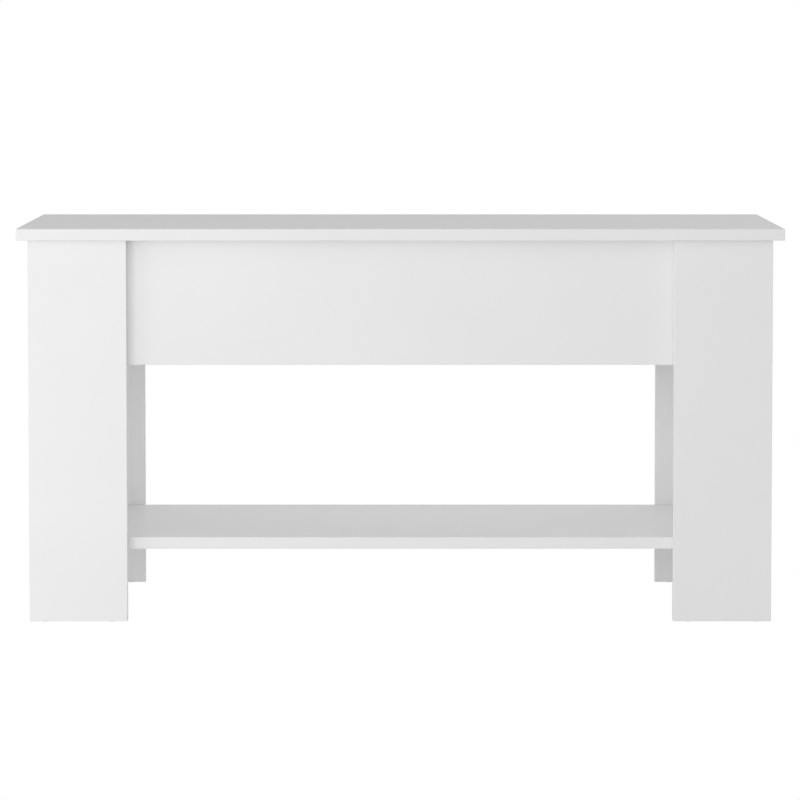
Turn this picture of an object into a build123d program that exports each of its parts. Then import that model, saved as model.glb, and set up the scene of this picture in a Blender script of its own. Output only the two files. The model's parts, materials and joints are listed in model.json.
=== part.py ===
from build123d import *
import os
from math import cos, radians, sin

# Lift top coffee table in white gloss board.
# Millimetres. X runs along the table, Y from the front to the back, Z up.
# The origin is the centre of the footprint, on the floor.

# ------------------------------------------------------------------ driving dimensions
TABLE_LENGTH = 980.0
TABLE_DEPTH = 480.0
TABLE_HEIGHT = 505.0
BOARD = 15.0              # thickness of every board
OVERHANG = 14.0           # of the top past the legs, all round
LEG_WIDTH = 126.0         # of each leg, seen from the front and from the side
APRON_BOTTOM = 329.5
SHELF_TOP = 107.5
GLIDE_HEIGHT = 0.6        # of the glides below the legs' ends
LID_GAP = 0.5             # between the legs' ends and the underside of the top
TOP_ROUNDING = 0.9        # edge radius of the top
BOARD_ROUNDING = 0.5      # edge radius of the other boards

ARM_LENGTH = 200.0        # between the pivots of a lifting arm
ARM_WIDTH = 22.0
ARM_CLOSED = 8.0          # angle of the arms above the horizontal with the top down
ARM_OPEN = 125.0          # the same with the top up
PIVOT_SPACING = 100.0     # from a front pivot to the rear pivot beside it
PIVOT_SLOPE = -20.0       # direction of that spacing
TAIL_LENGTH = 28.0        # spring lever on the rear arm
TAIL_ANGLE = 203.5        # from the arm to its spring lever
FRONT_PIVOT_Y = -148.0
FRONT_PIVOT_Z = 448.0
ANCHOR_Y = 150.0          # fixed end of the spring

# ------------------------------------------------------------------ derived dimensions
HALF = BOARD / 2
TOP_UNDERSIDE = TABLE_HEIGHT - BOARD
BOX_TOP = TOP_UNDERSIDE - LID_GAP
LEG_X = TABLE_LENGTH / 2 - OVERHANG          # outer faces of the legs
LEG_Y = TABLE_DEPTH / 2 - OVERHANG
APRON_X = LEG_X - BOARD                      # ends of the aprons and the shelf
APRON_Y = LEG_Y - BOARD                      # outer faces of the aprons
SIDE_X = APRON_X - BOARD                     # inner faces of the side panels
INNER_Y = APRON_Y - BOARD                    # inner faces of the aprons
SHELF_MID = SHELF_TOP - HALF
FLOOR_MID = APRON_BOTTOM + HALF

# ------------------------------------------------------------------ fasteners
CAM_SETBACK = 24.0        # from the meeting boards to the cam's centre
CAM_RADIUS = 7.4
CAM_DEPTH = 12.0
CAM_SLOT = 7.4            # width and height of the slot that takes the bolt's head
CAP_RADIUS = 8.5
CAP_THICKNESS = 0.9
BOLT_RADIUS = 2.4
BOLT_BORE = 4.0           # radius of the bolt's way to its cam
BOLT_THREAD = 10.0        # its depth in the board's face
BOLT_COLLAR = 3.5
BOLT_HEAD = 3.2
BOLT_REACH = 23.0         # from the meeting boards to the end of its head
DOWEL_RADIUS = 2.95
DOWEL_SHORT, DOWEL_LONG = 10.0, 20.0         # its depth in a board's face and in an edge
SCREW_RADIUS = 1.9
SCREW_HEAD = 4.0
SCREW_HEAD_HEIGHT = 2.2
SCREW_POINT = 3.0         # length of the tapered point
LEG_SCREW = 25.0          # length
RAIL_SCREW = 14.0         # length
RAIL_SCREW_HOLE = 12.0    # depth in the board
GLIDE_RADIUS, NAIL_RADIUS, NAIL_LENGTH = 5.0, 0.9, 12.0
GLIDE_SUNK = 1.2                             # depth of a glide's seat in the leg
BUMPER_RADIUS = 4.0
BUMPER_SUNK = 1.2                            # depth of a bumper's seat in the board
BUMPER_AIR = 0.15                            # between a bumper and the top
FIT = 0.1                                    # hole radius past a fastener's radius
BOTTOM_ROOM = 0.5                            # past the end of a fastener in a blind hole
RUNNING = 0.05                               # radial clearance at a turning pivot
AIR = 0.3                                    # between faces that slide past each other

X_AXIS, Y_AXIS, Z_AXIS = Vector(1, 0, 0), Vector(0, 1, 0), Vector(0, 0, 1)

boards = {}       # node name to its uncut solid
cutters = {}      # node name to the holes drilled in it
hardware = {}     # node name to its list of solids


# ------------------------------------------------------------------ basic shapes
def rod(start, direction, radius, length):
    """Cylinder that grows from start along direction."""
    where = Plane(origin=start, z_dir=direction)
    return where * Cylinder(radius, length, align=(Align.CENTER, Align.CENTER, Align.MIN))


def taper(start, direction, near_radius, far_radius, length):
    """Cone that grows from start along direction."""
    where = Plane(origin=start, z_dir=direction)
    align = (Align.CENTER, Align.CENTER, Align.MIN)
    return where * Cone(near_radius, far_radius, length, align=align)


def slab(x_range, y_range, z_range):
    """Box between two corners, given as low and high along each axis."""
    spans = [sorted(span) for span in (x_range, y_range, z_range)]
    size = [high - low for low, high in spans]
    centre = [(high + low) / 2 for low, high in spans]
    return Pos(*centre) * Box(*size)


def add_board(name, x_range, y_range, z_range, rounding=BOARD_ROUNDING):
    block = slab(x_range, y_range, z_range)
    boards[name] = fillet(block.edges(), rounding)
    cutters[name] = []


def add_hardware(node, *solids):
    hardware.setdefault(node, []).extend(solids)


def cross_recess(point, direction, reach, depth):
    """Cross-shaped driver recess, cut from point along direction."""
    where = Plane(origin=point, z_dir=direction)
    align = (Align.CENTER, Align.CENTER, Align.MIN)
    slot = 0.9
    return where * (Box(reach, slot, depth, align=align) + Box(slot, reach, depth, align=align))


# ------------------------------------------------------------------ flat-pack joints
def cam_joint(bolt_board, cam_board, contact, into, face, capped=True):
    """A bolt in the face of one board enters the edge of the next, where a cam draws it tight.

    contact lies where the boards meet, into points into the cam's board, and face is the
    outward normal of the surface that the cam is sunk in.
    """
    pocket = contact + into * CAM_SETBACK + face * HALF
    cutters[bolt_board].append(rod(contact, -into, BOLT_RADIUS + FIT, BOLT_THREAD + BOTTOM_ROOM))
    cutters[cam_board].append(rod(contact, into, BOLT_BORE, CAM_SETBACK))
    cutters[cam_board].append(rod(pocket, -face, CAM_RADIUS + FIT, CAM_DEPTH + BOTTOM_ROOM))

    bolt = rod(contact - into * BOLT_THREAD, into, BOLT_RADIUS, BOLT_THREAD + BOLT_REACH)
    bolt += rod(contact + into * FIT, into, BOLT_COLLAR, 1.5)
    bolt += rod(contact + into * (BOLT_REACH - 3.0), into, BOLT_HEAD, 3.0)
    add_hardware("cam_bolts", bolt)

    cam = rod(pocket, -face, CAM_RADIUS, CAM_DEPTH)
    slot = Plane(origin=contact + into * CAM_SETBACK, z_dir=-into)
    cam -= slot * Pos(0, 0, 3) * Box(CAM_SLOT, CAM_SLOT, 12)
    cam -= cross_recess(pocket, -face, 8.0, 1.6)
    add_hardware("cam_locks", max(cam.solids(), key=lambda s: s.volume))

    if capped:
        cap = rod(pocket, face, CAP_RADIUS, CAP_THICKNESS)
        rim = cap.edges().sort_by(Axis(pocket, face))[-1]
        add_hardware("cam_caps", fillet(rim, 0.6))


def dowel_joint(face_board, edge_board, contact, into):
    """A grooved wooden dowel, set in a board's face and the next board's edge."""
    cutters[face_board].append(rod(contact, -into, DOWEL_RADIUS + FIT, DOWEL_SHORT + BOTTOM_ROOM))
    cutters[edge_board].append(rod(contact, into, DOWEL_RADIUS + FIT, DOWEL_LONG + BOTTOM_ROOM))
    pin = rod(contact - into * DOWEL_SHORT, into, DOWEL_RADIUS, DOWEL_SHORT + DOWEL_LONG)
    add_hardware("wooden_dowels", chamfer(pin.edges().filter_by(GeomType.CIRCLE), 0.8))


def screw_shank(start, direction, length):
    """Shank and tapered point, without thread."""
    straight = length - SCREW_POINT
    shank = rod(start, direction, SCREW_RADIUS, straight)
    return shank + taper(start + direction * straight, direction, SCREW_RADIUS, 0.3, SCREW_POINT)


def driver_cross(point, direction):
    return cross_recess(point, direction, 3.6, 1.5)


def leg_screw(through_board, into_board, head, direction):
    """Countersunk screw through one board into the next, its head flush with the surface."""
    clear = SCREW_RADIUS + FIT
    for name in (through_board, into_board):
        cutters[name].append(rod(head, direction, clear, LEG_SCREW + BOTTOM_ROOM))
    sink = taper(head, direction, SCREW_HEAD + FIT, clear, SCREW_HEAD_HEIGHT)
    cutters[through_board].append(sink)
    screw = taper(head, direction, SCREW_HEAD, SCREW_RADIUS, SCREW_HEAD_HEIGHT)
    screw += screw_shank(head, direction, LEG_SCREW)
    add_hardware("leg_screws", screw - driver_cross(head, direction))


def rail_screw(seat, direction):
    """Pan head screw with the underside of its head at seat."""
    dome = rod(seat, -direction, SCREW_HEAD, SCREW_HEAD_HEIGHT)
    rim = dome.edges().sort_by(Axis(seat, -direction))[-1]
    screw = fillet(rim, 1.2) + screw_shank(seat, direction, RAIL_SCREW)
    return screw - driver_cross(seat - direction * SCREW_HEAD_HEIGHT, direction)


# ------------------------------------------------------------------ boards
def side_name(side):
    return "left" if side < 0 else "right"


def end_name(end):
    return "front" if end < 0 else "back"


def make_boards():
    half_length, half_depth = TABLE_LENGTH / 2, TABLE_DEPTH / 2
    top_z = (TOP_UNDERSIDE, TABLE_HEIGHT)
    add_board("table_top", (-half_length, half_length), (-half_depth, half_depth), top_z, TOP_ROUNDING)
    box_z = (APRON_BOTTOM, BOX_TOP)
    for end in (-1, 1):
        y_range = (end * APRON_Y, end * INNER_Y)
        add_board(f"{end_name(end)}_apron", (-APRON_X, APRON_X), y_range, box_z)
    for side in (-1, 1):
        x_range = (side * APRON_X, side * SIDE_X)
        add_board(f"{side_name(side)}_side_panel", x_range, (-INNER_Y, INNER_Y), box_z)
    floor_z = (APRON_BOTTOM, APRON_BOTTOM + BOARD)
    add_board("compartment_floor", (-SIDE_X, SIDE_X), (-INNER_Y, INNER_Y), floor_z)
    shelf_z = (SHELF_TOP - BOARD, SHELF_TOP)
    add_board("lower_shelf", (-APRON_X, APRON_X), (-APRON_Y, APRON_Y), shelf_z)
    leg_z = (GLIDE_HEIGHT, BOX_TOP)
    for side in (-1, 1):
        for end in (-1, 1):
            corner = f"{end_name(end)}_{side_name(side)}_leg"
            face_x = (side * (LEG_X - LEG_WIDTH), side * LEG_X)
            add_board(f"{corner}_face", face_x, (end * LEG_Y, end * APRON_Y), leg_z)
            side_y = (end * (LEG_Y - LEG_WIDTH), end * APRON_Y)
            add_board(f"{corner}_side", (side * APRON_X, side * LEG_X), side_y, leg_z)


def join_leg(side, end):
    """Face board to side board, and both to the storage box and the shelf."""
    corner = f"{end_name(end)}_{side_name(side)}_leg"
    face, flank = f"{corner}_face", f"{corner}_side"
    apron, panel = f"{end_name(end)}_apron", f"{side_name(side)}_side_panel"
    inward_y, inward_x = Y_AXIS * -end, X_AXIS * -side
    for z in (60.0, 250.0):
        contact = Vector(side * (LEG_X - HALF), end * APRON_Y, z)
        cam_joint(face, flank, contact, inward_y, inward_x)
    for z in (30.0, 160.0, 410.0):
        dowel_joint(face, flank, Vector(side * (LEG_X - HALF), end * APRON_Y, z), inward_y)
    for x in (LEG_X - LEG_WIDTH + 25.0, APRON_X - 26.0):
        for z in (365.0, 455.0):
            head = Vector(side * x, end * INNER_Y, z)
            leg_screw(apron, face, head, -inward_y)
    for z in (365.0, 476.0):
        head = Vector(side * SIDE_X, end * 120.0, z)
        leg_screw(panel, flank, head, -inward_x)
    shelf_cam = Vector(side * APRON_X, end * 155.0, SHELF_MID)
    cam_joint(flank, "lower_shelf", shelf_cam, inward_x, -Z_AXIS)
    dowel_joint(flank, "lower_shelf", Vector(side * APRON_X, end * 120.0, SHELF_MID), inward_x)
    dowel_joint(face, "lower_shelf", Vector(side * 380.0, end * APRON_Y, SHELF_MID), inward_y)


def join_box():
    """Storage box: aprons to side panels, and the floor between them."""
    for end in (-1, 1):
        apron, inward_y = f"{end_name(end)}_apron", Y_AXIS * -end
        for side in (-1, 1):
            panel = f"{side_name(side)}_side_panel"
            for z in (372.0, 458.0):
                contact = Vector(side * (SIDE_X + HALF), end * INNER_Y, z)
                cam_joint(apron, panel, contact, inward_y, X_AXIS * -side)
            dowel_joint(apron, panel, Vector(side * (SIDE_X + HALF), end * INNER_Y, 415.0), inward_y)
        for x in (-300.0, 0.0, 300.0):
            contact = Vector(x, end * INNER_Y, FLOOR_MID)
            cam_joint(apron, "compartment_floor", contact, inward_y, -Z_AXIS)
        for x in (-400.0, -150.0, 150.0, 400.0):
            contact = Vector(x, end * INNER_Y, FLOOR_MID)
            dowel_joint(apron, "compartment_floor", contact, inward_y)
    for side in (-1, 1):
        for y in (-100.0, 100.0):
            contact = Vector(side * SIDE_X, y, FLOOR_MID)
            dowel_joint(f"{side_name(side)}_side_panel", "compartment_floor", contact, X_AXIS * -side)


def foot_glide(leg_board, x, y):
    """Glide with a nail, seated in the end of a leg board."""
    thickness = GLIDE_HEIGHT + GLIDE_SUNK
    disc = rod(Vector(x, y, 0), Z_AXIS, GLIDE_RADIUS, thickness)
    rim = disc.edges().sort_by(Axis.Z)[0]
    seat = Vector(x, y, GLIDE_HEIGHT)
    seat_floor = Vector(x, y, thickness)
    nail = rod(seat_floor, Z_AXIS, NAIL_RADIUS, NAIL_LENGTH)
    cutters[leg_board].append(rod(seat, Z_AXIS, GLIDE_RADIUS + FIT, GLIDE_SUNK))
    cutters[leg_board].append(rod(seat_floor, Z_AXIS, NAIL_RADIUS + FIT, NAIL_LENGTH + BOTTOM_ROOM))
    add_hardware("foot_glides", fillet(rim, GLIDE_HEIGHT / 2) + nail)


def closing_bumper(board, x, y):
    """Soft disc seated in a board's upper end, for the top to close on."""
    seat_floor = Vector(x, y, BOX_TOP - BUMPER_SUNK)
    cutters[board].append(rod(seat_floor, Z_AXIS, BUMPER_RADIUS + FIT, BUMPER_SUNK))
    height = BUMPER_SUNK + LID_GAP - BUMPER_AIR
    add_hardware("closing_bumpers", rod(seat_floor, Z_AXIS, BUMPER_RADIUS, height))


def add_feet_and_bumpers():
    for side in (-1, 1):
        for end in (-1, 1):
            corner = f"{end_name(end)}_{side_name(side)}_leg"
            for x in (LEG_X - LEG_WIDTH + 20.0, LEG_X - 20.0):
                foot_glide(f"{corner}_face", side * x, end * (LEG_Y - HALF))
            foot_glide(f"{corner}_side", side * (LEG_X - HALF), end * (LEG_Y - LEG_WIDTH + 20.0))
            closing_bumper(f"{corner}_face", side * (LEG_X - 20.0), end * (LEG_Y - HALF))
    for end in (-1, 1):
        closing_bumper(f"{end_name(end)}_apron", 0, end * (APRON_Y - HALF))


# ------------------------------------------------------------------ lift mechanism, right-hand unit
# Depths are measured from the inner face of the side panel, inwards.
RAIL_STEEL = 2.5
WASHER = 0.8
ARM_STEEL = 3.0
ARM_NEAR = RAIL_STEEL + WASHER + AIR
ARM_FAR = ARM_NEAR + ARM_STEEL
TOP_RAIL_NEAR = ARM_FAR + WASHER + AIR
TOP_RAIL_FAR = TOP_RAIL_NEAR + RAIL_STEEL
PIVOT_RADIUS = 4.0
PIVOT_HEAD = 6.5
HEAD_THICKNESS = 2.0
SPRING_DEPTH = 17.0                          # of the spring's axis
SPRING_RADIUS = 6.0
SPRING_WIRE = 0.8                            # wire radius
SPRING_END = 14.0                            # from a pin to the first coil
HOOK_RADIUS = 4.2                            # of the wire's centre line round a pin
STUD_RADIUS = 3.0
STUD_NECK = 2.5                              # in the groove that holds the spring's hook
STUD_GROOVE = 2.0                            # half the groove's width
STUD_SHOULDER = 4.5
STUD_TIP = 23.0
FLANGE_FAR = 36.0
FLANGE_FRONT, FLANGE_BACK = 20.0, 180.0      # ends of the top rail with the top down
FLANGE_SCREW_DEPTH = 25.0
BASE_SCREWS = [(-152.0, 420.0), (-118.0, 396.0), (0.0, 393.0), (115.0, 393.0)]
TOP_SCREWS = [35.0, 80.0, 120.0, 165.0]      # along the top rail's flange
STOP_DISTANCE = 40.0                         # of the stop pin along the open rear arm
STOP_RADIUS = 2.5
SLEEVE_RADIUS = 4.0
SLEEVE_NEAR, SLEEVE_FAR = ARM_NEAR - 0.8, ARM_FAR + 0.4
COUNTERSINK = 1.4                            # depth, and growth in radius, of a flush rivet


def polar(origin, length, angle):
    return origin[0] + length * cos(radians(angle)), origin[1] + length * sin(radians(angle))


BASE_FRONT = (FRONT_PIVOT_Y, FRONT_PIVOT_Z)
BASE_REAR = polar(BASE_FRONT, PIVOT_SPACING, PIVOT_SLOPE)
TOP_FRONT = polar(BASE_FRONT, ARM_LENGTH, ARM_CLOSED)
TOP_REAR = polar(BASE_REAR, ARM_LENGTH, ARM_CLOSED)
TAIL = polar(BASE_REAR, TAIL_LENGTH, ARM_CLOSED + TAIL_ANGLE)
ANCHOR = (ANCHOR_Y, TAIL[1])
STOP = polar(polar(BASE_REAR, STOP_DISTANCE, ARM_OPEN), ARM_WIDTH / 2 + SLEEVE_RADIUS + AIR, ARM_OPEN + 90)


def at(place, depth):
    """Point at (y, z) and at a depth from the side panel."""
    return Vector(SIDE_X - depth, place[0], place[1])


def across(place, near, far, radius):
    """Round bar along X between two depths."""
    return rod(at(place, near), -X_AXIS, radius, far - near)


def sheet(outline, near, far):
    """Flat plate in the YZ plane between two depths."""
    return extrude(Plane.YZ.offset(SIDE_X - far) * outline, amount=far - near)


def bar_outline(start, length, angle, width):
    return Pos(*start) * Rot(0, 0, angle) * Pos(length / 2, 0) * SlotCenterToCenter(length, width)


def flush_cone(place):
    """Flared end of a rivet, flush with the rail's face against the side panel."""
    return taper(at(place, 0), -X_AXIS, PIVOT_RADIUS + COUNTERSINK, PIVOT_RADIUS, COUNTERSINK)


def base_rail():
    front, rear, low, strip, high = -162.0, 160.0, 386.0, 411.0, 464.0
    corners = [(front, low), (rear, low), (rear, strip), (-10, strip)]
    corners += [(-38, 432), (-80, 453), (-122, high), (front, high)]
    outline = make_face(Polyline(*corners, close=True))
    outline = fillet(outline.vertices(), 5.0)
    plate = sheet(outline, 0, RAIL_STEEL)
    for place in (BASE_FRONT, BASE_REAR):
        plate -= across(place, 0, RAIL_STEEL, PIVOT_RADIUS)
        plate -= flush_cone(place)
    plate -= across(ANCHOR, 0, RAIL_STEEL, STUD_RADIUS)
    plate -= across(STOP, 0, RAIL_STEEL, STOP_RADIUS)
    for place in BASE_SCREWS:
        plate -= across(place, 0, RAIL_STEEL, SCREW_RADIUS + 0.3)
    return plate


def top_rail():
    high, low = TOP_UNDERSIDE, TOP_REAR[1] - 13.0
    corners = [(FLANGE_FRONT, high), (FLANGE_BACK, high), (FLANGE_BACK - 4, 470), (160, low)]
    corners += [(130, low), (34, 461), (24, 474)]
    outline = make_face(Polyline(*corners, close=True))
    outline = fillet(outline.vertices().sort_by(Axis.Y)[:-2], 3.0)
    rail = sheet(outline, TOP_RAIL_NEAR, TOP_RAIL_FAR)
    flange_x = (SIDE_X - FLANGE_FAR, SIDE_X - TOP_RAIL_NEAR)
    rail += slab(flange_x, (FLANGE_FRONT, FLANGE_BACK), (high - RAIL_STEEL, high))
    for place in (TOP_FRONT, TOP_REAR):
        rail -= across(place, TOP_RAIL_NEAR, TOP_RAIL_FAR, PIVOT_RADIUS)
    for y in TOP_SCREWS:
        seat = Vector(SIDE_X - FLANGE_SCREW_DEPTH, y, high - RAIL_STEEL)
        rail -= rod(seat, Z_AXIS, SCREW_RADIUS + 0.3, RAIL_STEEL)
    return rail


def arm(base, with_tail):
    outline = bar_outline(base, ARM_LENGTH, ARM_CLOSED, ARM_WIDTH)
    if with_tail:
        outline += bar_outline(base, TAIL_LENGTH, ARM_CLOSED + TAIL_ANGLE, 16.0)
        outline += Pos(*base) * Circle(14.0)
    plate = sheet(outline, ARM_NEAR, ARM_FAR)
    plate = chamfer(plate.edges().filter_by(Plane.YZ), 0.4)
    for place in (base, polar(base, ARM_LENGTH, ARM_CLOSED)):
        plate -= across(place, ARM_NEAR, ARM_FAR, PIVOT_RADIUS + RUNNING)
    if with_tail:
        plate -= across(TAIL, ARM_NEAR, ARM_FAR, STUD_RADIUS)
    return plate


def base_pivot(place):
    """Rivet, flush in the rail against the side panel, headed past the arm."""
    head_near = ARM_FAR + AIR
    rivet = across(place, 0, head_near, PIVOT_RADIUS)
    rivet += flush_cone(place)
    head = across(place, head_near, head_near + HEAD_THICKNESS, PIVOT_HEAD)
    rim = head.edges().sort_by(Axis.X)[0]
    return rivet + fillet(rim, 1.2)


def top_pivot(place):
    """Rivet through the arm and the top rail, headed on both sides."""
    outer_far = ARM_NEAR - AIR
    outer = across(place, outer_far - HEAD_THICKNESS, outer_far, PIVOT_HEAD)
    outer = fillet(outer.edges().sort_by(Axis.X)[-1], 1.2)
    inner = across(place, TOP_RAIL_FAR, TOP_RAIL_FAR + HEAD_THICKNESS, PIVOT_HEAD)
    inner = fillet(inner.edges().sort_by(Axis.X)[0], 1.2)
    return outer + across(place, outer_far, TOP_RAIL_FAR, PIVOT_RADIUS) + inner


def washer(place, near):
    ring = across(place, near, near + WASHER, 8.0)
    return ring - across(place, near, near + WASHER, PIVOT_RADIUS + RUNNING)


def spring_stud(place, near, shoulder_near):
    """Headed stud with a shoulder and a groove, for one end of the spring."""
    groove_near, groove_far = SPRING_DEPTH - STUD_GROOVE, SPRING_DEPTH + STUD_GROOVE
    stud = across(place, near, shoulder_near, STUD_RADIUS)
    stud += across(place, shoulder_near, groove_near, STUD_SHOULDER)
    stud += across(place, groove_near, groove_far, STUD_NECK)
    head = across(place, groove_far, STUD_TIP, STUD_SHOULDER)
    rim = head.edges().sort_by(Axis.X)[0]
    return stud + fillet(rim, 0.8)


def lift_spring():
    """Close-wound tension spring as a tube with end discs, stems and hook rings."""
    start, end = at(TAIL, SPRING_DEPTH), at(ANCHOR, SPRING_DEPTH)
    length = end.Y - start.Y - 2 * SPRING_END
    first = start + Y_AXIS * SPRING_END
    coil = rod(first, Y_AXIS, SPRING_RADIUS, length)
    bore = rod(first + Y_AXIS * 2, Y_AXIS, SPRING_RADIUS - 2 * SPRING_WIRE, length - 4)
    spring = coil - bore
    for pin, towards in ((start, Y_AXIS), (end, -Y_AXIS)):
        spring += Plane(origin=pin, z_dir=X_AXIS) * Torus(HOOK_RADIUS, SPRING_WIRE)
        spring += rod(pin + towards * HOOK_RADIUS, towards, SPRING_WIRE, SPRING_END - HOOK_RADIUS + 0.5)
    return spring


def stop_sleeve():
    sleeve = across(STOP, SLEEVE_NEAR, SLEEVE_FAR, SLEEVE_RADIUS)
    return sleeve - across(STOP, SLEEVE_NEAR, SLEEVE_FAR, STOP_RADIUS)


def stop_pin():
    pin = across(STOP, 0, SLEEVE_FAR, STOP_RADIUS)
    return pin + across(STOP, SLEEVE_FAR, SLEEVE_FAR + COUNTERSINK, SLEEVE_RADIUS)


def mechanism():
    """Node name, without its side, to the solids of the right-hand unit."""
    screws = [rail_screw(at(place, RAIL_STEEL), X_AXIS) for place in BASE_SCREWS]
    flange_seats = [Vector(SIDE_X - FLANGE_SCREW_DEPTH, y, TOP_UNDERSIDE - RAIL_STEEL) for y in TOP_SCREWS]
    return {
        "base_rail": [base_rail()],
        "base_pivots": [base_pivot(BASE_FRONT), base_pivot(BASE_REAR)],
        "base_washers": [washer(BASE_FRONT, RAIL_STEEL), washer(BASE_REAR, RAIL_STEEL)],
        "base_rail_screws": screws,
        "stop_pin": [stop_pin()],
        "stop_sleeve": [stop_sleeve()],
        "spring_anchor": [spring_stud(ANCHOR, 0, RAIL_STEEL)],
        "lift_spring": [lift_spring()],
        "front_arm": [arm(BASE_FRONT, False)],
        "front_arm_washer": [washer(TOP_FRONT, ARM_FAR)],
        "rear_arm": [arm(BASE_REAR, True)],
        "rear_arm_washer": [washer(TOP_REAR, ARM_FAR)],
        "spring_hook_pin": [spring_stud(TAIL, ARM_NEAR, ARM_FAR)],
        "top_rail": [top_rail()],
        "top_pivots": [top_pivot(TOP_FRONT), top_pivot(TOP_REAR)],
        "top_rail_screws": [rail_screw(seat, Z_AXIS) for seat in flange_seats],
    }


def add_mechanism():
    for name, solids in mechanism().items():
        add_hardware(f"{name}_right", *solids)
        add_hardware(f"{name}_left", *[mirror(solid, about=Plane.YZ) for solid in solids])
    hole = SCREW_RADIUS + FIT
    for side in (-1, 1):
        panel = f"{side_name(side)}_side_panel"
        for y, z in BASE_SCREWS:
            start = Vector(side * SIDE_X, y, z)
            cutters[panel].append(rod(start, X_AXIS * side, hole, RAIL_SCREW_HOLE))
        for y in TOP_SCREWS:
            start = Vector(side * (SIDE_X - FLANGE_SCREW_DEPTH), y, TOP_UNDERSIDE)
            cutters["table_top"].append(rod(start, Z_AXIS, hole, RAIL_SCREW_HOLE))


# ------------------------------------------------------------------ build and write
def export_all():
    os.makedirs("parts", exist_ok=True)
    for name, block in boards.items():
        drilled = block - cutters[name] if cutters[name] else block
        export_step(drilled, f"parts/{name}.step")
    for name, solids in hardware.items():
        pieces = [solid for shape in solids for solid in shape.solids()]
        group = pieces[0] if len(pieces) == 1 else Compound(children=pieces)
        export_step(group, f"parts/{name}.step")


make_boards()
for leg_side in (-1, 1):
    for leg_end in (-1, 1):
        join_leg(leg_side, leg_end)
join_box()
add_feet_and_bumpers()
add_mechanism()
export_all()
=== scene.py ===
import json
from math import cos, pi, radians, sin

import bmesh
import bpy
from mathutils import Matrix, Vector


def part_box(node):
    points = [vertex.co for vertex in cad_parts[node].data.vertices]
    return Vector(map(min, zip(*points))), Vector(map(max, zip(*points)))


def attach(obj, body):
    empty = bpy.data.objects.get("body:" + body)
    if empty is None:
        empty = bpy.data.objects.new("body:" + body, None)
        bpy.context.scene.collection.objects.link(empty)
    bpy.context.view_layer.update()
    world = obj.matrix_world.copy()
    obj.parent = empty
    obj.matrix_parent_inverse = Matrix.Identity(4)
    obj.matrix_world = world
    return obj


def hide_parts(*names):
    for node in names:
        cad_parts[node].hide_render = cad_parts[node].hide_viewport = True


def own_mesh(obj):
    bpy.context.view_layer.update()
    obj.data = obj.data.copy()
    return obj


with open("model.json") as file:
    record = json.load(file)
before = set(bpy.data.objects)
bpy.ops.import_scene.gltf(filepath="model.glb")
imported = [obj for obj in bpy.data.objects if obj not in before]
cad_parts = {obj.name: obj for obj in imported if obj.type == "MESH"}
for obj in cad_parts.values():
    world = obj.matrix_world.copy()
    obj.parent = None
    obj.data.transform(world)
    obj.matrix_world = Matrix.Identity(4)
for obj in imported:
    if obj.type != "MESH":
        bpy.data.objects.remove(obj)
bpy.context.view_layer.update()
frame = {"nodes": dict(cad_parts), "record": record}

SCENE = bpy.context.scene
MM = 0.001

# ------------------------------------------------------------------ camera and light
CAMERA_PLACE = (-0.0003, -6.320, 0.760)
CAMERA_PITCH = 0.0777           # radians below the horizon
CAMERA_LENS = 215.0             # millimetres
CAMERA_SENSOR = 36.0            # millimetres across
CAMERA_REACH = 100.0            # how far the camera sees
FLOOR_REACH = 30.0              # from the middle to each side
FLOOR_ALBEDO = 0.4
FLOOR_GLOW = 0.303              # radiance that the floor adds of its own
SKY_GLOWS = (                   # direction, tightness, radiance
    ((0, 1, 0.5), 4, 0.55),
    ((-1, 0.6, 0.1), 4, 0.9),
    ((1, 0.6, 0.1), 4, 1.3),
    ((0, -1, 0.15), 1, 0.93),
)
WALL_GLOW = 1.43                # of the wall behind the table
WALL_TIGHTNESS = 2.0
WALL_FOOT = (0.1, 0.3)          # sines of the elevations between which its glow sets in
PANELS = (                      # name, place, aim, width, watts
    ("near_panel", (-0.6, -1.8, 0.5), (-0.2, -0.2, 0.25), 0.8, 2.5),
    ("low_panel", (-1.8, -2.6, 0.35), (-0.1, -0.2, 0.25), 0.8, 11.6),
    ("end_panel", (-1.6, -0.9, 0.2), (0.3, 0.2, 0.2), 0.5, 2.8),
    ("far_panel", (-6.0, -0.9, 0.5), (0, 0, 0.3), 1.2, 46.4),
)

# ------------------------------------------------------------------ boards
ARRIS = 0.5 * MM                # rounding of a board's edges
TOP_ARRIS = 0.9 * MM
ARRIS_STEPS = 3
BAND_SEAM = 0.25 * MM           # from the rounding to the seam of the edge band
SEAM_WIDTH = 0.08 * MM          # of each flank of the seam
SEAM_DEPTH = 0.06 * MM

SEAT_RADIUS = 4.05 * MM         # of the seats that take the leg screws' heads
SEAT_DEPTH = 2.4 * MM
SEAT_SIDES = 32
SHARP_ANGLE = radians(60)       # edges that turn further than this are shaded sharp
FLAT_WEIGHT = 100               # how strongly the flat faces decide the shading of the roundings
BOX_WALLS = ("front_apron", "back_apron", "left_side_panel", "right_side_panel")

# ------------------------------------------------------------------ springs
WIRE_RADIUS = 0.8 * MM
WIRE_SIDES = 8
SPRING_TURNS = 80
TURN_STEPS = 16                 # points on each turn
SPRING_END = 14 * MM            # from a pin's centre to the first coil
NECK_SHARE = 0.6                # of that length, where the straight neck ends
FIRST_TURN = 0.25               # radius that the first turn starts from, as a share of the coil's
HOOK_RADIUS = 4.2 * MM
HOOK_STEPS = 24
HOOK_SWEEP = radians(320)       # how much of a circle a hook goes round
HOOK_GAP = radians(40)          # where the gap of the front hook ends


# ------------------------------------------------------------------ node helpers
NOISE_RANGE = (0.3, 0.7)        # where nearly all values of a noise lie


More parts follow.
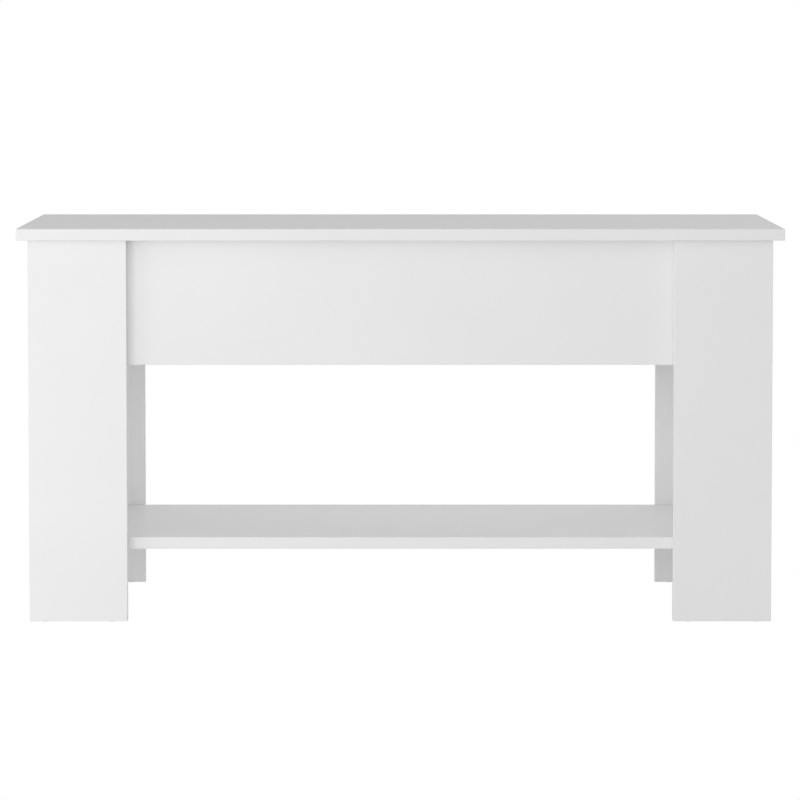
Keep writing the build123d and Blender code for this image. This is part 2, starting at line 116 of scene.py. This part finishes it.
class Nodes:
    """A short way to build a material's node tree."""

    def __init__(self, name):
        self.material = bpy.data.materials.new(name)
        self.material.use_nodes = True
        self.tree = self.material.node_tree
        self.shader = self.tree.nodes["Principled BSDF"]

    def add(self, kind):
        return self.tree.nodes.new(kind)

    def link(self, source, target):
        self.tree.links.new(source, target)

    def coordinates(self, scale=(1, 1, 1)):
        """Place on the piece in metres, stretched by scale."""
        place = self.add("ShaderNodeTexCoord")
        mapping = self.add("ShaderNodeMapping")
        mapping.inputs["Scale"].default_value = scale
        self.link(place.outputs["Object"], mapping.inputs["Vector"])
        return mapping.outputs["Vector"]

    def noise(self, vector, scale, detail=3.0, roughness=0.5):
        """Soft random value, with about scale blotches in a metre."""
        node = self.add("ShaderNodeTexNoise")
        node.inputs["Scale"].default_value = scale
        node.inputs["Detail"].default_value = detail
        node.inputs["Roughness"].default_value = roughness
        self.link(vector, node.inputs["Vector"])
        return node.outputs["Fac"]

    def ramp(self, value, low, high):
        """Colour that runs from low to high over the usual range of a noise."""
        node = self.add("ShaderNodeValToRGB")
        first, last = node.color_ramp.elements
        first.position, last.position = NOISE_RANGE
        first.color, last.color = (*low, 1), (*high, 1)
        self.link(value, node.inputs["Fac"])
        return node.outputs["Color"]

    def span(self, value, low, high):
        """Number that runs from low to high over the usual range of a noise."""
        node = self.add("ShaderNodeMapRange")
        node.inputs["From Min"].default_value = NOISE_RANGE[0]
        node.inputs["From Max"].default_value = NOISE_RANGE[1]
        node.inputs["To Min"].default_value = low
        node.inputs["To Max"].default_value = high
        self.link(value, node.inputs["Value"])
        return node.outputs["Result"]

    def bump(self, height, distance, strength=1.0, normal=None):
        """Relief of the given height, on top of another if there is one."""
        node = self.add("ShaderNodeBump")
        node.inputs["Distance"].default_value = distance
        node.inputs["Strength"].default_value = strength
        self.link(height, node.inputs["Height"])
        if normal is not None:
            self.link(normal, node.inputs["Normal"])
        return node.outputs["Normal"]

    def set(self, **values):
        """Set the shader's own inputs, named with _ for each space."""
        for key, value in values.items():
            self.shader.inputs[key.replace("_", " ")].default_value = value

    def finish(self, colour, roughness, normal):
        self.link(colour, self.shader.inputs["Base Color"])
        self.link(roughness, self.shader.inputs["Roughness"])
        self.link(normal, self.shader.inputs["Normal"])
        return self.material


# ------------------------------------------------------------------ materials
def white_gloss_board():
    """High-gloss melamine: faint cloudiness in the white, and a pressed film's soft waviness."""
    m = Nodes("white_gloss_board")
    where = m.coordinates()
    cloud = m.noise(where, scale=6.0, detail=2.0)
    fibre = m.noise(where, scale=900.0, detail=2.0)
    smudge = m.noise(where, scale=25.0, detail=4.0, roughness=0.6)
    wave = m.noise(where, scale=70.0, detail=1.0)
    colour = m.ramp(cloud, (0.915, 0.915, 0.915), (0.930, 0.930, 0.930))
    rough = m.span(smudge, 0.05, 0.08)
    normal = m.bump(wave, 0.004 * MM)
    normal = m.bump(fibre, 0.0003 * MM, normal=normal)
    m.set(IOR=1.5, Specular_IOR_Level=0.5)
    return m.finish(colour, rough, normal)


def black_steel():
    """Satin powder coat with its fine orange peel."""
    m = Nodes("black_steel")
    where = m.coordinates()
    grain = m.noise(where, scale=1800.0, detail=2.0)
    peel = m.noise(where, scale=450.0, detail=2.0)
    colour = m.ramp(grain, (0.018, 0.018, 0.019), (0.032, 0.032, 0.034))
    rough = m.span(m.noise(where, scale=120.0), 0.38, 0.5)
    normal = m.bump(peel, 0.06 * MM, strength=0.5)
    normal = m.bump(grain, 0.02 * MM, strength=0.4, normal=normal)
    m.set(IOR=1.5)
    return m.finish(colour, rough, normal)


def plated_steel(name, low, high, roughness):
    """Zinc plate with cloudy tone and fine drawn lines."""
    m = Nodes(name)
    where = m.coordinates()
    cloud = m.noise(where, scale=160.0)
    lines = m.noise(m.coordinates((4.0, 60.0, 60.0)), scale=60.0, roughness=0.7)
    rough = m.span(m.noise(where, scale=700.0), roughness - 0.06, roughness + 0.08)
    m.set(Metallic=1.0)
    return m.finish(m.ramp(cloud, low, high), rough, m.bump(lines, 0.01 * MM, strength=0.4))


def spring_steel():
    """Dark drawn wire under a film of oil."""
    m = Nodes("spring_steel")
    where = m.coordinates()
    cloud = m.noise(where, scale=300.0, detail=4.0)
    colour = m.ramp(cloud, (0.20, 0.20, 0.21), (0.36, 0.36, 0.38))
    normal = m.bump(m.noise(where, scale=2500.0), 0.01 * MM, strength=0.4)
    m.set(Metallic=1.0, Coat_Weight=0.3, Coat_Roughness=0.2)
    return m.finish(colour, m.span(cloud, 0.24, 0.36), normal)


def moulded(name, low, high, roughness, subsurface=0.0):
    """Moulded plastic or rubber with a fine even grain."""
    m = Nodes(name)
    where = m.coordinates()
    fine = m.noise(where, scale=900.0, detail=2.0)
    rough = m.span(m.noise(where, scale=150.0), roughness - 0.05, roughness + 0.05)
    m.set(IOR=1.47, Subsurface_Weight=subsurface, Subsurface_Scale=2 * MM)
    return m.finish(m.ramp(fine, low, high), rough, m.bump(fine, 0.02 * MM, strength=0.4))


def dowel_wood():
    """Beech with small flecks."""
    m = Nodes("dowel_wood")
    grain = m.noise(m.coordinates((300.0, 300.0, 300.0)), scale=1.0, detail=4.0, roughness=0.6)
    colour = m.ramp(grain, (0.42, 0.27, 0.14), (0.62, 0.44, 0.26))
    return m.finish(colour, m.span(grain, 0.55, 0.7), m.bump(grain, 0.05 * MM, strength=0.5))


def grey(value):
    return (value, value, value)


MATERIALS = {
    "white_gloss_board": white_gloss_board(),
    "black_steel": black_steel(),
    "zinc_steel": plated_steel("zinc_steel", (0.56, 0.57, 0.59), (0.70, 0.71, 0.73), 0.28),
    "zinc_screw": plated_steel("zinc_screw", (0.52, 0.53, 0.54), (0.68, 0.69, 0.70), 0.3),
    "zinc_cast": plated_steel("zinc_cast", (0.45, 0.45, 0.46), (0.56, 0.56, 0.57), 0.45),
    "spring_steel": spring_steel(),
    "nylon": moulded("nylon", (0.70, 0.70, 0.66), (0.80, 0.80, 0.77), 0.45, subsurface=0.1),
    "black_rubber": moulded("black_rubber", grey(0.012), grey(0.03), 0.75),
    "white_plastic": moulded("white_plastic", grey(0.78), grey(0.83), 0.3),
    "clear_bumper": moulded("clear_bumper", grey(0.6), grey(0.7), 0.25, subsurface=0.3),
    "glide_plastic": moulded("glide_plastic", grey(0.72), grey(0.80), 0.5),
    "dowel_wood": dowel_wood(),
}


# ------------------------------------------------------------------ pieces
SLOT_OF = {row["node"]: row["material_slot"] for row in frame["record"]["subparts"]}


def body_of(node):
    for body, members in frame["record"]["behaviour"]["bodies"].items():
        if node in members:
            return body
    raise KeyError(node)


def new_piece(name, mesh, slot, node):
    """Object that stands for a CAD node and moves with its body."""
    mesh.materials.append(MATERIALS[slot])
    piece = bpy.data.objects.new(name, mesh)
    SCENE.collection.objects.link(piece)
    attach(piece, body_of(node))
    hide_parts(node)
    return piece


def seam(shape, face):
    """Fine groove where the face film meets the edge band, all round one face."""
    bmesh.ops.inset_region(shape, faces=[face], thickness=BAND_SEAM)
    bmesh.ops.inset_region(shape, faces=[face], thickness=SEAM_WIDTH, depth=-SEAM_DEPTH)
    bmesh.ops.inset_region(shape, faces=[face], thickness=SEAM_WIDTH, depth=SEAM_DEPTH)


def islands(node):
    """Low and high corners of each separate solid in a CAD node."""
    shape = bmesh.new()
    shape.from_mesh(frame["nodes"][node].data)
    shape.transform(frame["nodes"][node].matrix_world)
    bmesh.ops.remove_doubles(shape, verts=shape.verts[:], dist=0.001 * MM)
    left = set(shape.verts)
    boxes = []
    while left:
        group = [left.pop()]
        for vert in group:
            near = {edge.other_vert(vert) for edge in vert.link_edges} & left
            left -= near
            group.extend(near)
        low = Vector(min(v.co[i] for v in group) for i in range(3))
        high = Vector(max(v.co[i] for v in group) for i in range(3))
        boxes.append((low, high))
    shape.free()
    return boxes


LEG_SCREWS = islands("leg_screws")


def screw_seats(low, high):
    """Cutter for the screw heads sunk in the inner face of a board of the storage box."""
    cutter = bmesh.new()
    for first, last in LEG_SCREWS:
        along = max(range(3), key=lambda i: last[i] - first[i])
        head = (first + last) / 2
        head[along] = min(first[along], last[along], key=abs)
        if not all(low[i] - MM < head[i] < high[i] + MM for i in range(3)):
            continue
        turn = Vector((0, 0, 1)).rotation_difference(Vector(float(i == along) for i in range(3)))
        bmesh.ops.create_cone(
            cutter, cap_ends=True, segments=SEAT_SIDES, radius1=SEAT_RADIUS,
            radius2=SEAT_RADIUS, depth=2 * SEAT_DEPTH,
            matrix=Matrix.Translation(head) @ turn.to_matrix().to_4x4(),
        )
    return cutter


def cut(mesh, cutter, name):
    """Mesh less the cutter."""
    tool_mesh = bpy.data.meshes.new(name + "_tool")
    cutter.to_mesh(tool_mesh)
    tool = bpy.data.objects.new(name + "_tool", tool_mesh)
    body = bpy.data.objects.new(name + "_body", mesh)
    for item in (tool, body):
        SCENE.collection.objects.link(item)
    boolean = body.modifiers.new("cut", "BOOLEAN")
    boolean.operation = "DIFFERENCE"
    boolean.solver = "EXACT"
    boolean.object = tool
    evaluated = body.evaluated_get(bpy.context.evaluated_depsgraph_get())
    result = bpy.data.meshes.new_from_object(evaluated)
    for item in (tool, body):
        bpy.data.objects.remove(item)
    return result


def board_piece(node):
    """Board with rounded edges and a seam round each broad face."""
    low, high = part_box(node)
    size = high - low
    shape = bmesh.new()
    bmesh.ops.create_cube(shape, size=1.0)
    for vert in shape.verts:
        vert.co = Vector(low[i] + (vert.co[i] + 0.5) * size[i] for i in range(3))
    bmesh.ops.bevel(
        shape, geom=shape.edges[:], offset=TOP_ARRIS if node == "table_top" else ARRIS,
        segments=ARRIS_STEPS, profile=0.5, affect="EDGES", clamp_overlap=True,
    )
    for face in sorted(shape.faces, key=lambda f: f.calc_area())[-2:]:
        seam(shape, face)
    mesh = bpy.data.meshes.new(node + "_board")
    shape.to_mesh(mesh)
    shape.free()
    if node in BOX_WALLS:
        seats = screw_seats(low, high)
        mesh = cut(mesh, seats, node)
        seats.free()
    mesh.shade_smooth()
    mesh.set_sharp_from_angle(angle=SHARP_ANGLE)
    piece = new_piece(node + "_board", mesh, SLOT_OF[node], node)
    weighted = piece.modifiers.new("normals", "WEIGHTED_NORMAL")
    weighted.weight = FLAT_WEIGHT
    weighted.keep_sharp = True


def tube(points, radius, sides, name):
    """Closed round tube along a list of points."""
    shape = bmesh.new()
    rings = []
    normal = Vector((1, 0, 0))
    for i, point in enumerate(points):
        ahead = points[min(i + 1, len(points) - 1)]
        behind = points[max(i - 1, 0)]
        along = (ahead - behind).normalized()
        normal = (normal - along * normal.dot(along)).normalized()
        across = along.cross(normal)
        ring = []
        for k in range(sides):
            angle = 2 * pi * k / sides
            arm = radius * (normal * cos(angle) + across * sin(angle))
            ring.append(shape.verts.new(point + arm))
        rings.append(ring)
    for first, second in zip(rings, rings[1:]):
        for k in range(sides):
            j = (k + 1) % sides
            shape.faces.new((first[k], first[j], second[j], second[k]))
    shape.faces.new(list(reversed(rings[0])))
    shape.faces.new(rings[-1])
    bmesh.ops.recalc_face_normals(shape, faces=shape.faces[:])
    mesh = bpy.data.meshes.new(name)
    shape.to_mesh(mesh)
    shape.free()
    mesh.shade_smooth()
    return mesh


def hook(centre, start, sweep):
    """Points of a hook that goes round a pin."""
    points = []
    for i in range(HOOK_STEPS + 1):
        angle = start + sweep * i / HOOK_STEPS
        points.append(centre + HOOK_RADIUS * Vector((0, cos(angle), sin(angle))))
    return points


def spring_piece(side):
    """Tension spring: a hook, close turns of wire, and a hook."""
    node = f"lift_spring_{side}"
    low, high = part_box(node)
    reach = HOOK_RADIUS + WIRE_RADIUS
    mid = (low + high) / 2
    first = Vector((mid.x, low.y + reach, mid.z))
    last = Vector((mid.x, high.y - reach, mid.z))
    coil_radius = (high.x - low.x) / 2 - WIRE_RADIUS
    start, end = first.y + SPRING_END, last.y - SPRING_END
    steps = SPRING_TURNS * TURN_STEPS
    points = hook(first, HOOK_GAP, HOOK_SWEEP)
    points.append(Vector((mid.x, first.y + NECK_SHARE * SPRING_END, mid.z)))
    for i in range(steps + 1):
        share = i / steps
        angle = 2 * pi * i / TURN_STEPS
        grow = min(1.0, share * SPRING_TURNS, (1 - share) * SPRING_TURNS)
        radius = coil_radius * (FIRST_TURN + (1 - FIRST_TURN) * grow)
        y = start + (end - start) * share
        points.append(Vector((mid.x + radius * cos(angle), y, mid.z + radius * sin(angle))))
    points.append(Vector((mid.x, last.y - NECK_SHARE * SPRING_END, mid.z)))
    points += hook(last, pi, -HOOK_SWEEP)
    mesh = tube(points, WIRE_RADIUS, WIRE_SIDES, node + "_wire")
    piece = new_piece(node + "_wire", mesh, SLOT_OF[node], node)
    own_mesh(piece)


def dress_cad_nodes():
    """Give every CAD node that stays its own material."""
    for name, node in frame["nodes"].items():
        node.data.materials.clear()
        node.data.materials.append(MATERIALS[SLOT_OF[name]])


# ------------------------------------------------------------------ stage
def camera_white(tree, seen, unseen):
    """Mix two shaders so that the camera sees plain white and the light sees the other."""
    path = tree.nodes.new("ShaderNodeLightPath")
    mix = tree.nodes.new("ShaderNodeMixShader")
    tree.links.new(path.outputs["Is Camera Ray"], mix.inputs[0])
    tree.links.new(unseen, mix.inputs[1])
    tree.links.new(seen, mix.inputs[2])
    return mix.outputs[0]


def floor():
    """Pale plain floor that lights the table from below; the camera sees white in its place."""
    mesh = bpy.data.meshes.new("studio_floor")
    r = FLOOR_REACH
    mesh.from_pydata([(-r, -r, 0), (r, -r, 0), (r, r, 0), (-r, r, 0)], [], [(0, 1, 2, 3)])
    plane = bpy.data.objects.new("studio_floor", mesh)
    SCENE.collection.objects.link(plane)
    plane.visible_camera = False
    material = bpy.data.materials.new("studio_floor")
    material.use_nodes = True
    tree = material.node_tree
    tree.nodes.clear()
    out = tree.nodes.new("ShaderNodeOutputMaterial")
    glow = tree.nodes.new("ShaderNodeEmission")
    glow.inputs["Strength"].default_value = FLOOR_GLOW
    matt = tree.nodes.new("ShaderNodeBsdfDiffuse")
    matt.inputs["Color"].default_value = (FLOOR_ALBEDO,) * 3 + (1,)
    both = tree.nodes.new("ShaderNodeAddShader")
    tree.links.new(glow.outputs[0], both.inputs[0])
    tree.links.new(matt.outputs[0], both.inputs[1])
    tree.links.new(both.outputs[0], out.inputs["Surface"])
    mesh.materials.append(material)


def sky():
    """Studio walls: a few broad soft glows, each strongest in its own direction."""
    world = bpy.data.worlds.new("studio")
    SCENE.world = world
    world.use_nodes = True
    tree = world.node_tree
    tree.nodes.clear()
    out = tree.nodes.new("ShaderNodeOutputWorld")
    place = tree.nodes.new("ShaderNodeTexCoord")
    parts = tree.nodes.new("ShaderNodeSeparateXYZ")
    tree.links.new(place.outputs["Generated"], parts.inputs[0])
    foot = tree.nodes.new("ShaderNodeMapRange")
    foot.interpolation_type = "SMOOTHSTEP"
    foot.inputs["From Min"].default_value, foot.inputs["From Max"].default_value = WALL_FOOT
    foot.inputs["To Max"].default_value = WALL_GLOW
    tree.links.new(parts.outputs["Z"], foot.inputs["Value"])
    behind = maths(tree, "MAXIMUM", parts.outputs["Y"], 0.0)
    behind = maths(tree, "POWER", behind, WALL_TIGHTNESS)
    total = maths(tree, "MULTIPLY", behind, foot.outputs["Result"])
    for direction, tightness, strength in SKY_GLOWS:
        facing = tree.nodes.new("ShaderNodeVectorMath")
        facing.operation = "DOT_PRODUCT"
        facing.inputs[1].default_value = Vector(direction).normalized()
        tree.links.new(place.outputs["Generated"], facing.inputs[0])
        share = maths(tree, "MAXIMUM", facing.outputs["Value"], 0.0)
        share = maths(tree, "POWER", share, tightness)
        share = maths(tree, "MULTIPLY", share, strength)
        total = maths(tree, "ADD", total, share)
    seen = tree.nodes.new("ShaderNodeBackground")
    seen.inputs["Color"].default_value = (1, 1, 1, 1)
    unseen = tree.nodes.new("ShaderNodeBackground")
    unseen.inputs["Color"].default_value = (1, 1, 1, 1)
    tree.links.new(total, unseen.inputs["Strength"])
    tree.links.new(camera_white(tree, seen.outputs[0], unseen.outputs[0]), out.inputs["Surface"])


def maths(tree, operation, first, second):
    """Output of a math node; second may be a number or another output."""
    node = tree.nodes.new("ShaderNodeMath")
    node.operation = operation
    tree.links.new(first, node.inputs[0])
    if isinstance(second, (int, float)):
        node.inputs[1].default_value = second
    else:
        tree.links.new(second, node.inputs[1])
    return node.outputs[0]


def softbox(name, place, aim, width, watts):
    """Square lamp that lights the table and is never seen, not even as a reflection."""
    light = bpy.data.lights.new(name, "AREA")
    light.shape = "SQUARE"
    light.size = width
    light.energy = watts
    lamp = bpy.data.objects.new(name, light)
    lamp.location = place
    lamp.rotation_euler = (Vector(aim) - Vector(place)).to_track_quat("-Z", "Y").to_euler()
    lamp.visible_camera = False
    lamp.visible_glossy = False
    SCENE.collection.objects.link(lamp)


def camera():
    """Camera at the height and distance that the table is seen from."""
    data = bpy.data.cameras.new("camera")
    data.lens = CAMERA_LENS
    data.sensor_width = CAMERA_SENSOR
    data.clip_end = CAMERA_REACH
    eye = bpy.data.objects.new("camera", data)
    eye.location = CAMERA_PLACE
    eye.rotation_euler = (pi / 2 - CAMERA_PITCH, 0, 0)
    SCENE.collection.objects.link(eye)
    SCENE.camera = eye


# ------------------------------------------------------------------ assembly
camera()
sky()
floor()
for panel in PANELS:
    softbox(*panel)
SCENE.view_settings.view_transform = "Standard"
dress_cad_nodes()
for board_node, board_slot in SLOT_OF.items():
    if board_slot == "white_gloss_board":
        board_piece(board_node)
for spring_side in ("left", "right"):
    spring_piece(spring_side)
